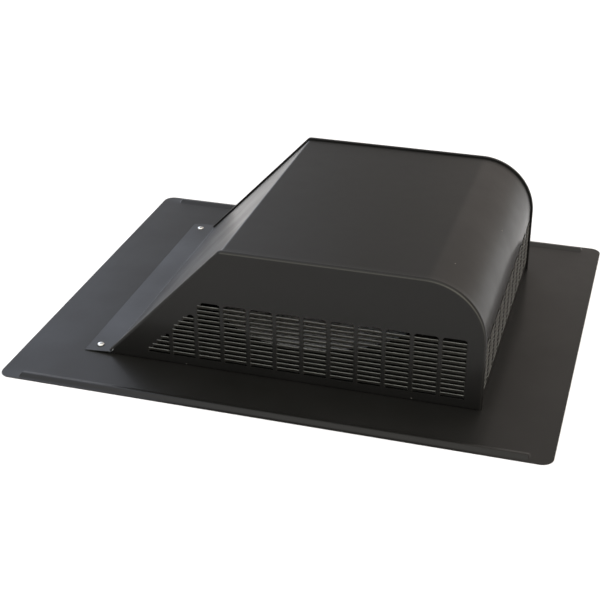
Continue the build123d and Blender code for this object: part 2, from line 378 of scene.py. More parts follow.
@dataclass(frozen=True)
class Layout:
    """The vent's sizes, the same as those of its solids, and the lines that its sheets share."""

    sheet: float = 0.6
    throat_radius: float = 101.5
    collar_height: float = 12.0
    collar_bend: float = 1.4
    flange_half_length: float = 235.0
    flange_half_width: float = 197.0
    flange_corner: float = 10.0
    bead_edge_distance: float = 7.0
    bead_end_distance: float = 18.0
    bead_half_width: float = 5.0
    bead_crest_half_width: float = 0.8
    bead_height: float = 2.4
    hood_back_x: float = -161.7
    hood_front_x: float = 170.0
    hood_height: float = 113.0
    slope_run: float = 107.0
    roll_radius: float = 49.5
    crest_radius: float = 2.2
    bend_radius: float = 1.5
    foot_width: float = 19.5
    foot_rise: float = 1.8
    foot_half_width: float = 137.0
    side_y: float = 136.0
    seam_height: float = 2.0
    seam_width: float = 4.4
    seam_clearance: float = 0.3
    upturn_y: float = 134.1
    turned_flange: float = 12.0
    corner_clearance: float = 1.0
    sill: float = 8.0
    side_cells: int = 13
    front_cells: int = 11
    blade_pitch: float = 4.36
    top_cell: float = 3.0
    blade_slit: float = 0.2
    blade_tilt: float = 34.0
    blade_stand_out: float = 0.6
    shortest_cell: float = 3.5
    column_width: float = 20.3
    column_top_radius: float = 2.6
    widest_round: float = 0.45
    column_round_steps: int = 4
    # Width of a strip below each louvre column's sill that is worn to bare metal, a painted highlight along
    # the sill.
    sill_wear_and_highlight: float = 0.4
    side_column_gap: float = 2.97
    side_columns: int = 12
    side_front_margin: float = 15.0
    side_slope_margin: float = 21.0
    front_column_gap: float = 5.8
    front_columns: int = 10
    rivet_shank_radius: float = 1.6
    rivet_head_radius: float = 3.2
    rivet_head_height: float = 1.2
    rivet_dimple_radius: float = 0.95
    rivet_dimple_depth: float = 0.5
    rivet_hole_radius: float = 1.7
    foot_rivet_x: float = -170.7
    foot_rivet_y: float = 126.5
    inner_rivets_per_flange: int = 3

    @property
    def top_z(self) -> float:
        """The height of the seams' flat top."""
        return self.sheet + self.hood_height

    @property
    def slope(self) -> float:
        """The back slope's angle to the flange, in radians."""
        return math.atan2(self.hood_height, self.slope_run)

    @property
    def foot_back_x(self) -> float:
        """The back edge of the hood's foot."""
        return self.hood_back_x - self.foot_width

    @property
    def front_face_x(self) -> float:
        """The outer face of the hood's louvred front."""
        return self.hood_front_x - self.seam_height

    @property
    def roll_outer_radius(self) -> float:
        """The radius of the rolled front on the hood's outer face."""
        return self.roll_radius + self.sheet

    @property
    def roll_start_z(self) -> float:
        """The height at which the hood's flat front begins to roll back."""
        return self.top_z - self.seam_height - self.roll_outer_radius

    @property
    def sill_z(self) -> float:
        """The height of the louvres' lowest edge."""
        return self.sheet + self.sill

    @property
    def panel_flange_y(self) -> float:
        """The inner edge of the panels' turned-in flanges."""
        return self.side_y - self.turned_flange

    @property
    def front_flange_x(self) -> float:
        """The inner edge of the front's turned-in flange."""
        return self.front_face_x - self.turned_flange

    @property
    def turned_flange_end_x(self) -> float:
        """Where the panels' turned-in flanges stop short of the front."""
        return self.front_face_x - self.sheet - self.corner_clearance

    def slope_x(self, inset: float, z: float) -> float:
        """Where the back slope, moved in by inset, stands at the height z."""
        return self.hood_back_x + inset / math.sin(self.slope) + (z - self.sheet) / math.tan(self.slope)

    def side_view(self, inset: float, back_z: float, steps: int, support: float) -> list[Point]:
        """The hood's side view, moved in by inset, from the foot of the slope round to the foot of the front.

        Args:
            inset: How far inside the outermost outline the line runs.
            back_z: The height at which it starts on the slope.
            steps: The steps in each of its two arcs.
            support: How near to the arcs it has an extra point.

        Returns:
            Points of x and z, the same number for every inset.
        """
        top = self.top_z - inset
        front = self.hood_front_x - inset
        growth = self.seam_height + self.sheet - inset
        corners = [(self.slope_x(inset, back_z), back_z), (self.slope_x(inset, top), top), (front, top)]
        radii = [self.crest_radius + growth, self.roll_radius + growth]
        return rounded([*corners, (front, self.sheet)], radii, steps, support)

    def cell_top(self, row: int) -> float:
        """The height of a louvre cell's top, rows counted from one at the sill."""
        return self.sill_z + row * self.blade_pitch

    def column_hole(self, ends: Sequence[float], right: float) -> list[Point]:
        """The outline of one louvre column: a stack of cells with rounded top corners.

        Args:
            ends: The left ends of its cells, from the sill up.
            right: Their common right end.

        Returns:
            Points along the sheet and upwards.
        """
        top = self.cell_top(len(ends) - 1) + self.top_cell
        radius = min(self.column_top_radius, self.widest_round * (right - ends[-1]))
        quarter = math.pi / 2
        steps = self.column_round_steps
        outline = [(right, self.sill_z)]
        outline += arc((right - radius, top - radius), radius, 0.0, quarter, steps)
        outline += arc((ends[-1] + radius, top - radius), radius, quarter, math.pi, steps)
        for row in range(len(ends) - 1, 0, -1):
            if ends[row] != ends[row - 1]:
                outline += [(ends[row], self.cell_top(row)), (ends[row - 1], self.cell_top(row))]
        return [*outline, (ends[0], self.sill_z)]

    def side_column_rights(self) -> list[float]:
        """The right ends of a side panel's louvre columns, counted back from the front."""
        pitch = self.column_width + self.side_column_gap
        first = self.hood_front_x - self.side_front_margin
        return [first - index * pitch for index in range(self.side_columns)]

    def side_holes(self) -> list[list[Point]]:
        """The outlines of a side panel's louvre columns, cut short along the slope."""
        holes = []
        for right in self.side_column_rights():
            rows = range(1, self.side_cells + 1)
            limits = [self.slope_x(self.side_slope_margin, self.cell_top(row)) for row in rows]
            ends = [max(right - self.column_width, limit) for limit in limits]
            ends = [end for end in ends if right - end >= self.shortest_cell]
            if ends:
                holes.append(self.column_hole(ends, right))
        return holes

    def front_column_rights(self) -> list[float]:
        """The right ends of the front's louvre columns, from the last back to the first."""
        pitch = self.column_width + self.front_column_gap
        first = (self.front_columns * pitch - self.front_column_gap) / 2
        return [first - index * pitch for index in range(self.front_columns)]

    def front_holes(self) -> list[list[Point]]:
        """The outlines of the front's louvre columns."""
        rights = self.front_column_rights()
        return [self.column_hole([right - self.column_width] * self.front_cells, right) for right in rights]

    def foot_rivet_places(self) -> list[Point]:
        """The places of the two rivets in the hood's foot."""
        return [(self.foot_rivet_x, -self.foot_rivet_y), (self.foot_rivet_x, self.foot_rivet_y)]

    def inner_rivet_places(self) -> list[Point]:
        """The places of the rivets in the turned-in flanges, inside the hood."""
        count = self.inner_rivets_per_flange
        side_y = (self.side_y - self.sheet + self.panel_flange_y) / 2
        front_x = (self.front_face_x - self.sheet + self.front_flange_x) / 2
        back_x = self.slope_x(self.turned_flange, self.sheet)
        shares = [(index + 0.5) / count for index in range(count)]
        along = [back_x + (self.front_flange_x - back_x) * share for share in shares]
        across = [self.panel_flange_y * (2 * share - 1) for share in shares]
        return [(x, side.value * side_y) for side in Side for x in along] + [(front_x, y) for y in across]


@dataclass(frozen=True)
class CoilCoat:
    """Satin black polyester coil coat, rolled on to the aluminium strip before it is folded.

    To the eye it is a near-black film, even and smooth, that mirrors pale surroundings softly at a low
    angle, with a faint orange peel, slight waves in the thin sheet under it and a few specks of dust.
    """

    name: str = "satin_black_coil_coat"
    colour: str = "#161614"
    worn_colour: str = "#1b1a18"
    # Grey of bare metal where the paint is worn. On the rim's fold and under the louvre sills it is also a
    # painted highlight.
    wear_and_highlight_colour: str = "#66665f"
    dust_colour: str = "#a9a49a"
    ior: float = 1.27
    roughness: float = 0.44
    roughness_spread: float = 0.06
    gloss: float = 0.32
    gloss_roughness: float = 0.17
    smudge_mm: float = 70.0
    peel_mm: float = 1.6
    peel_height_mm: float = 0.002
    wave_mm: float = 95.0
    wave_height_mm: float = 0.15
    dust_spacing_mm: float = 22.0
    dust_radius_mm: float = 0.32
    dust_share: float = 0.15

    def material(self) -> bpy.types.Material:
        """Build the finish from noise on the object's own coordinates."""
        finish, tree = blank_finish(self.name)
        place = add(tree, "ShaderNodeTexCoord").outputs["Object"]
        smudge = add(
            tree,
            "ShaderNodeTexNoise",
            {"Vector": place, "Scale": 1 / (self.smudge_mm * MM), "Detail": 4.0, "Roughness": 0.6},
        )
        rough = add(
            tree,
            "ShaderNodeMapRange",
            {
                "Value": smudge,
                "From Min": NOISE_LOW,
                "From Max": NOISE_HIGH,
                "To Min": self.roughness - self.roughness_spread,
                "To Max": self.roughness + self.roughness_spread,
            },
        )
        specks = add(
            tree,
            "ShaderNodeTexVoronoi",
            {"Vector": place, "Scale": 1 / (self.dust_spacing_mm * MM)},
            feature="F1",
        )
        near = add(
            tree,
            "ShaderNodeMath",
            {0: specks.outputs["Distance"], 1: self.dust_radius_mm / self.dust_spacing_mm},
            operation="LESS_THAN",
        )
        chosen = add(tree, "ShaderNodeSeparateColor", {"Color": specks.outputs["Color"]})
        few = add(tree, "ShaderNodeMath", {0: chosen, 1: self.dust_share}, operation="LESS_THAN")
        dusty = add(tree, "ShaderNodeMath", {0: near, 1: few}, operation="MULTIPLY")
        # The last layer is worn paint that also stands in for the highlights on the rim's fold and along the
        # louvre sills.
        rubbed = add(tree, "ShaderNodeAttribute", attribute_name=WEAR_AND_HIGHLIGHT).outputs["Fac"]
        colour = linear(self.colour)
        layers = ((smudge, self.worn_colour), (dusty, self.dust_colour), (rubbed, self.wear_and_highlight_colour))
        for share, over in layers:
            mixed = add(
                tree, "ShaderNodeMix", {"Factor": share, "A": colour, "B": linear(over)}, data_type="RGBA"
            )
            colour = mixed.outputs["Result"]
        bumps = []
        for size, height in ((self.wave_mm, self.wave_height_mm), (self.peel_mm, self.peel_height_mm)):
            noise = add(
                tree, "ShaderNodeTexNoise", {"Vector": place, "Scale": 1 / (size * MM), "Detail": 1.0}
            )
            relief = {"Height": noise, "Distance": height * MM, "Strength": 1.0}
            if bumps:
                relief["Normal"] = bumps[-1]
            bumps.append(add(tree, "ShaderNodeBump", relief))
        waved, peeled = bumps
        coat = add(
            tree,
            "ShaderNodeBsdfPrincipled",
            {
                "Base Color": colour,
                "Metallic": rubbed,
                "Roughness": rough.outputs["Result"],
                "IOR": self.ior,
                "Coat Weight": self.gloss,
                "Coat Roughness": self.gloss_roughness,
                "Coat IOR": self.ior,
                "Normal": peeled,
                "Coat Normal": waved,
            },
        )
        add(tree, "ShaderNodeOutputMaterial", {"Surface": coat})
        return finish


FLAT_COAT = CoilCoat()
# A lighter copy of the coat for the louvre blades, with no gloss. This is painted light that brightens the
# louvre fields.
LIGHTENED_BLADE_COAT = CoilCoat("stretched_black_coil_coat", "#2d2d2a", "#34332f", gloss=0.0, dust_share=0.0)


@dataclass(frozen=True)
class Aluminium:
    """Bare aluminium: drawn and tumbled on a rivet, sheared on a cut edge.

    To the eye it is a pale grey metal whose shine is broken by fine scratches and a dull oxide.
    """

    name: str
    colour: str
    dull_colour: str
    roughness: float
    roughness_spread: float
    scratch_mm: float
    scratch_height_mm: float

    def material(self) -> bpy.types.Material:
        """Build the finish from noise on the object's own coordinates."""
        finish, tree = blank_finish(self.name)
        place = add(tree, "ShaderNodeTexCoord").outputs["Object"]
        grain = add(
            tree,
            "ShaderNodeTexNoise",
            {"Vector": place, "Scale": 1 / (self.scratch_mm * MM), "Detail": 3.0},
        )
        tone = add(
            tree,
            "ShaderNodeMix",
            {"Factor": grain, "A": linear(self.dull_colour), "B": linear(self.colour)},
            data_type="RGBA",
        )
        rough = add(
            tree,
            "ShaderNodeMapRange",
            {
                "Value": grain,
                "From Min": NOISE_LOW,
                "From Max": NOISE_HIGH,
                "To Min": self.roughness + self.roughness_spread,
                "To Max": self.roughness - self.roughness_spread,
            },
        )
        bump = add(
            tree,
            "ShaderNodeBump",
            {"Height": grain, "Distance": self.scratch_height_mm * MM, "Strength": 1.0},
        )
        metal = add(
            tree,
            "ShaderNodeBsdfPrincipled",
            {
                "Base Color": tone.outputs["Result"],
                "Metallic": 1.0,
                "Roughness": rough.outputs["Result"],
                "Normal": bump,
            },
        )
        add(tree, "ShaderNodeOutputMaterial", {"Surface": metal})
        return finish


RIVET_ALUMINIUM = Aluminium("bright_rivet_aluminium", "#e9e9e6", "#c9c9c4", 0.24, 0.08, 0.9, 0.01)
EDGE_ALUMINIUM = Aluminium("sheared_edge_aluminium", "#8f908b", "#5e5f5b", 0.42, 0.10, 1.4, 0.01)


@dataclass(frozen=True)
class LouvreField:
    """A field of louvre blades, each a strip that twists out of the sheet at its ends.

    The blades are drawn as if the sheet's outer face lay in the XZ plane and looked along -Y.
    """

    layout: Layout
    columns: int
    cells: int
    first_right: float
    column_gap: float
    slope_foot: float
    slope_run: float
    twist_length: float = 1.3
    slices: int = 8
    root: float = 0.3
    root_thickness: float = 0.9
    drawn_thin: float = 0.7
    edge_steepness: float = 0.7

    def tree(self) -> bpy.types.NodeTree:
        """Build the node tree that lays out the blades and twists each of them.

        Returns:
            A tree with a named input for every size.
        """
        tree = bpy.data.node_groups.new("louvre_blades", "GeometryNodeTree")
        face = tree.interface
        whole = ("Columns", "Rows")
        lengths = ("First Right", "Column Pitch", "Column Width", "Sill", "Blade Pitch", "Chord", "Sheet")
        lengths += ("Stand Out", "Slope Foot", "Shortest Cell", "Twist Length", "Root")
        plain = ("Tilt", "Slope Run", "Root Thickness", "Edge Steepness")
        for name in whole:
            face.new_socket(name, in_out="INPUT", socket_type="NodeSocketInt")
        for name in lengths + plain:
            face.new_socket(name, in_out="INPUT", socket_type="NodeSocketFloat")
        for name in ("Paint", "Cut Edge"):
            face.new_socket(name, in_out="INPUT", socket_type="NodeSocketMaterial")
        face.new_socket("Geometry", in_out="OUTPUT", socket_type="NodeSocketGeometry")
        given = add(tree, "NodeGroupInput").outputs

        count = add(tree, "ShaderNodeMath", {0: given["Columns"], 1: given["Rows"]}, operation="MULTIPLY")
        points = add(tree, "GeometryNodePoints", {"Count": count})
        index = add(tree, "GeometryNodeInputIndex")
        share = add(tree, "ShaderNodeMath", {0: index, 1: given["Rows"]}, operation="DIVIDE")
        column = add(tree, "ShaderNodeMath", {0: share}, operation="FLOOR")
        row = add(tree, "ShaderNodeMath", {0: index, 1: given["Rows"]}, operation="MODULO")
        back = add(tree, "ShaderNodeMath", {0: column, 1: given["Column Pitch"]}, operation="MULTIPLY")
        right = add(tree, "ShaderNodeMath", {0: given["First Right"], 1: back}, operation="SUBTRACT")
        column_left = add(tree, "ShaderNodeMath", {0: right, 1: given["Column Width"]}, operation="SUBTRACT")
        above = add(tree, "ShaderNodeMath", {0: row, 1: 1.0}, operation="ADD")
        tops = []
        lefts = []
        for rows_up in (above, add(tree, "ShaderNodeMath", {0: above, 1: 1.0}, operation="ADD")):
            top = add(
                tree,
                "ShaderNodeMath",
                {0: rows_up, 1: given["Blade Pitch"], 2: given["Sill"]},
                operation="MULTIPLY_ADD",
            )
            limit = add(
                tree,
                "ShaderNodeMath",
                {0: top, 1: given["Slope Run"], 2: given["Slope Foot"]},
                operation="MULTIPLY_ADD",
            )
            tops.append(top)
            lefts.append(add(tree, "ShaderNodeMath", {0: column_left, 1: limit}, operation="MAXIMUM"))
        room = add(tree, "ShaderNodeMath", {0: right, 1: lefts[1]}, operation="SUBTRACT")
        short = add(tree, "ShaderNodeMath", {0: room, 1: given["Shortest Cell"]}, operation="LESS_THAN")
        for name, value in (("left", lefts[0]), ("right", right), ("top", tops[0]), ("short", short)):
            points = add(
                tree,
                "GeometryNodeStoreNamedAttribute",
                {"Geometry": points, "Name": name, "Value": value},
                data_type="FLOAT",
                domain="POINT",
            )
        too_short = add(tree, "GeometryNodeInputNamedAttribute", {"Name": "short"}, data_type="FLOAT")
        points = add(
            tree, "GeometryNodeDeleteGeometry", {"Geometry": points, "Selection": too_short}, domain="POINT"
        )

        strip = add(tree, "GeometryNodeMeshCube", {"Size": (1.0, 1.0, 1.0), "Vertices X": self.slices})
        shape = add(
            tree,
            "GeometryNodeStoreNamedAttribute",
            {"Geometry": strip, "Name": "shape", "Value": add(tree, "GeometryNodeInputPosition")},
            data_type="FLOAT_VECTOR",
            domain="POINT",
        )
        placed = add(tree, "GeometryNodeInstanceOnPoints", {"Points": points, "Instance": shape})
        blades = add(tree, "GeometryNodeRealizeInstances", {"Geometry": placed})

        stored = {
            name: add(tree, "GeometryNodeInputNamedAttribute", {"Name": name}, data_type="FLOAT")
            for name in ("left", "right", "top")
        }
        own = add(tree, "GeometryNodeInputNamedAttribute", {"Name": "shape"}, data_type="FLOAT_VECTOR")
        along, through, across = add(tree, "ShaderNodeSeparateXYZ", {0: own}).outputs
        last = self.slices - 1
        inner = self.slices // 2 - 1
        steps = add(tree, "ShaderNodeMath", {0: along, 1: float(last), 2: last / 2}, operation="MULTIPLY_ADD")
        others = add(tree, "ShaderNodeMath", {0: float(last), 1: steps}, operation="SUBTRACT")
        from_end = add(tree, "ShaderNodeMath", {0: steps, 1: others}, operation="MINIMUM")
        reach = add(tree, "ShaderNodeMath", {0: from_end, 1: float(inner)}, operation="DIVIDE")
        twisted = add(
            tree,
            "ShaderNodeMapRange",
            {"Value": reach, "From Min": 0.0, "From Max": 1.0},
            interpolation_type="SMOOTHSTEP",
        )
        twist = add(tree, "ShaderNodeMath", {0: reach, 1: given["Twist Length"]}, operation="MULTIPLY")
        inset = add(tree, "ShaderNodeMath", {0: twist, 1: given["Root"]}, operation="SUBTRACT")
        from_left = add(tree, "ShaderNodeMath", {0: stored["left"], 1: inset}, operation="ADD")
        from_right = add(tree, "ShaderNodeMath", {0: stored["right"], 1: inset}, operation="SUBTRACT")
        at_right = add(tree, "ShaderNodeMath", {0: along, 1: 0.0}, operation="GREATER_THAN")
        x = add(
            tree,
            "ShaderNodeMix",
            {"Factor": at_right, "A": from_left, "B": from_right},
            data_type="FLOAT",
        )
        angle = add(tree, "ShaderNodeMath", {0: twisted, 1: given["Tilt"]}, operation="MULTIPLY")
        cosine = add(tree, "ShaderNodeMath", {0: angle}, operation="COSINE")
        sine = add(tree, "ShaderNodeMath", {0: angle}, operation="SINE")
        below = add(tree, "ShaderNodeMath", {0: across, 1: 0.5}, operation="SUBTRACT")
        down = add(tree, "ShaderNodeMath", {0: below, 1: given["Chord"]}, operation="MULTIPLY")
        thin = add(
            tree,
            "ShaderNodeMapRange",
            {"Value": twisted, "To Min": given["Root Thickness"], "To Max": 1.0},
        )
        thick = add(tree, "ShaderNodeMath", {0: thin, 1: given["Sheet"]}, operation="MULTIPLY")
        deep = add(tree, "ShaderNodeMath", {0: through, 1: thick}, operation="MULTIPLY")
        deep_cosine = add(tree, "ShaderNodeMath", {0: deep, 1: cosine}, operation="MULTIPLY")
        deep_sine = add(tree, "ShaderNodeMath", {0: deep, 1: sine}, operation="MULTIPLY")
        down_sine = add(tree, "ShaderNodeMath", {0: down, 1: sine}, operation="MULTIPLY")
        turned_in = add(tree, "ShaderNodeMath", {0: deep_cosine, 1: down_sine}, operation="SUBTRACT")
        turned_up = add(tree, "ShaderNodeMath", {0: down, 1: cosine, 2: deep_sine}, operation="MULTIPLY_ADD")
        out = add(tree, "ShaderNodeMath", {0: given["Stand Out"], 1: twisted}, operation="MULTIPLY")
        middle = add(tree, "ShaderNodeMath", {0: given["Sheet"], 1: 0.5}, operation="MULTIPLY")
        pivot = add(tree, "ShaderNodeMath", {0: middle, 1: out}, operation="SUBTRACT")
        y = add(tree, "ShaderNodeMath", {0: pivot, 1: turned_in}, operation="ADD")
        z = add(tree, "ShaderNodeMath", {0: stored["top"], 1: turned_up}, operation="ADD")
        spot = add(tree, "ShaderNodeCombineXYZ", {"X": x.outputs["Result"], "Y": y, "Z": z})
        blades = add(tree, "GeometryNodeSetPosition", {"Geometry": blades, "Position": spot})

        normal = add(tree, "ShaderNodeSeparateXYZ", {0: add(tree, "GeometryNodeInputNormal")})
        steep = add(tree, "ShaderNodeMath", {0: normal.outputs["Z"]}, operation="ABSOLUTE")
        edge = add(tree, "ShaderNodeMath", {0: steep, 1: given["Edge Steepness"]}, operation="GREATER_THAN")
        whole_sheet = add(tree, "GeometryNodeSetMaterial", {"Geometry": blades, "Material": given["Paint"]})
        finished = add(
            tree,
            "GeometryNodeSetMaterial",
            {"Geometry": whole_sheet, "Selection": edge, "Material": given["Cut Edge"]},
        )
        for name in ("left", "right", "top", "short", "shape"):
            finished = add(tree, "GeometryNodeRemoveAttribute", {"Geometry": finished, "Name": name})
        add(tree, "NodeGroupOutput", {"Geometry": finished})
        return tree

    def blades(self, name: str, paint: bpy.types.Material, edge: bpy.types.Material) -> bpy.types.Object:
        """Grow the blades as one plain mesh.

        Args:
            name: The object's name.
            paint: The finish of the strips.
            edge: The finish of their cut edges.

        Returns:
            The blades, before they are put in their place.
        """
        layout = self.layout
        values = {
            "Columns": self.columns,
            "Rows": self.cells - 1,
            "First Right": self.first_right * MM,
            "Column Pitch": (layout.column_width + self.column_gap) * MM,
            "Column Width": layout.column_width * MM,
            "Sill": layout.sill_z * MM,
            "Blade Pitch": layout.blade_pitch * MM,
            "Chord": (layout.blade_pitch - layout.blade_slit) * MM,
            "Sheet": self.drawn_thin * layout.sheet * MM,
            "Stand Out": layout.blade_stand_out * MM,
            "Slope Foot": self.slope_foot * MM,
            "Shortest Cell": layout.shortest_cell * MM,
            "Twist Length": self.twist_length * MM,
            "Root": self.root * MM,
            "Tilt": math.radians(layout.blade_tilt),
            "Slope Run": self.slope_run,
            "Root Thickness": self.root_thickness,
            "Edge Steepness": self.edge_steepness,
            "Paint": paint,
            "Cut Edge": edge,
        }
        return grown(name, self.tree(), values)


def grown(
    name: str, tree: bpy.types.NodeTree, values: Mapping[str, Any], places: Sequence[Sequence[float]] = ()
) -> bpy.types.Object:
    """Run a geometry node tree and keep its result as a plain mesh.

    Args:
        name: The new object's name.
        tree: The tree, whose inputs have the names in values.
        values: A value for each named input.
        places: Points in millimetres that the tree starts from, where it needs any.

    Returns:
        An object with the tree's result as its mesh.
    """
    data = bpy.data.meshes.new(name)
    data.from_pydata([Vector(place) * MM for place in places], [], [])
    piece = bpy.data.objects.new(name, data)
    modifier = piece.modifiers.new("growth", "NODES")
    modifier.node_group = tree
    for item in tree.interface.items_tree:
        if item.in_out == "INPUT" and item.name in values:
            modifier[item.identifier] = values[item.name]
    bpy.context.scene.collection.objects.link(piece)
    return settled(piece)


@dataclass
class BaseFlange:
    """The flat flange with its two stiffening beads and the drawn collar of its throat."""

    layout: Layout
    paint: bpy.types.Material
    corner_steps: int = 12
    throat_steps: int = 96
    bend_steps: int = 6
    bead_end_steps: int = 10
    bead_blend: float = 0.9
    bead_rows: int = 9
    bead_cap_half_width: float = 0.3
    bead_end_share: float = 0.4
    hole_steps: int = 16

    def outline(self) -> list[Point]:
        """The flange's outline with its rounded corners."""
        layout = self.layout
        radius = layout.flange_corner
        x = layout.flange_half_length - radius
        y = layout.flange_half_width - radius
        quarter = math.pi / 2
        points = []
        for turn, corner in enumerate(((x, y), (-x, y), (-x, -y), (x, -y))):
            points += arc(corner, radius, turn * quarter, (turn + 1) * quarter, self.corner_steps)
        return points

    def bead_loop(self, side: Side, distance: float) -> list[Point]:
        """A line at one distance all round a bead's middle line."""
        layout = self.layout
        end_length = layout.bead_half_width * self.bead_end_share
        x = layout.flange_half_length - layout.bead_end_distance - end_length
        y = side.value * (layout.flange_half_width - layout.bead_edge_distance)
        quarter = math.pi / 2
        ends = arc((0.0, 0.0), distance, -quarter, quarter, self.bead_end_steps)
        front = [(x + self.bead_end_share * along, y + across) for along, across in ends]
        return front + [(-x - self.bead_end_share * along, y - across) for along, across in ends]

    def bead_height(self, distance: float) -> float:
        """The bead's height at a distance from its middle line, with its corners eased."""
        layout = self.layout
        flank = (layout.bead_half_width - distance) / (layout.bead_half_width - layout.bead_crest_half_width)
        ease = self.bead_blend / layout.bead_half_width
        low = math.sqrt(flank * flank + ease * ease)
        foot = (flank + low) / 2
        rest = 1.0 - foot
        return layout.bead_height * (1.0 - (rest + math.sqrt(rest * rest + ease * ease)) / 2)

    def build(self) -> bpy.types.Object:
        """Build the flange as one sheet.

        Returns:
            The finished flange.
        """
        layout = self.layout
        skin = Skin()
        top = layout.sheet
        reach = layout.bead_half_width + 2 * self.bead_blend
        mouth = layout.throat_radius + layout.sheet + layout.collar_bend
        holes = [self.bead_loop(side, reach) for side in Side]
        holes.append(circle((0.0, 0.0), mouth, self.throat_steps))
        rivets = layout.foot_rivet_places() + layout.inner_rivet_places()
        holes += [circle(place, layout.rivet_hole_radius, self.hole_steps) for place in rivets]
        skin.pierced(self.outline(), holes, lambda spot: (*spot, top))
        floor = self.bead_height(reach)
        for side in Side:
            rows = []
            for row in range(self.bead_rows + 1):
                distance = reach + (self.bead_cap_half_width - reach) * row / self.bead_rows
                height = top + self.bead_height(distance) - floor
                rows.append([(*spot, height) for spot in self.bead_loop(side, distance)])
            skin.grid(rows, closed=True)
            skin.cap(rows[-1])
        wall = layout.throat_radius + layout.sheet
        centre = (mouth, top + layout.collar_bend)
        bend = arc(centre, layout.collar_bend, -math.pi / 2, -math.pi, self.bend_steps)
        profile = [*bend, (wall, top + 2 * layout.collar_bend), (wall, top + layout.collar_height)]
        rings = [(circle((0.0, 0.0), radius, self.throat_steps), z) for radius, z in profile]
        skin.grid([[(*spot, z) for spot in ring] for ring, z in rings], closed=True)
        return skin.sheet("flange_sheet", layout.sheet, Vector((0, 0, 1)), [self.paint])

    def dress(self) -> None:
        """Build the flange and put it in place of its solid."""
        hand_over(self.build(), Slot.PAINT, "base_flange")


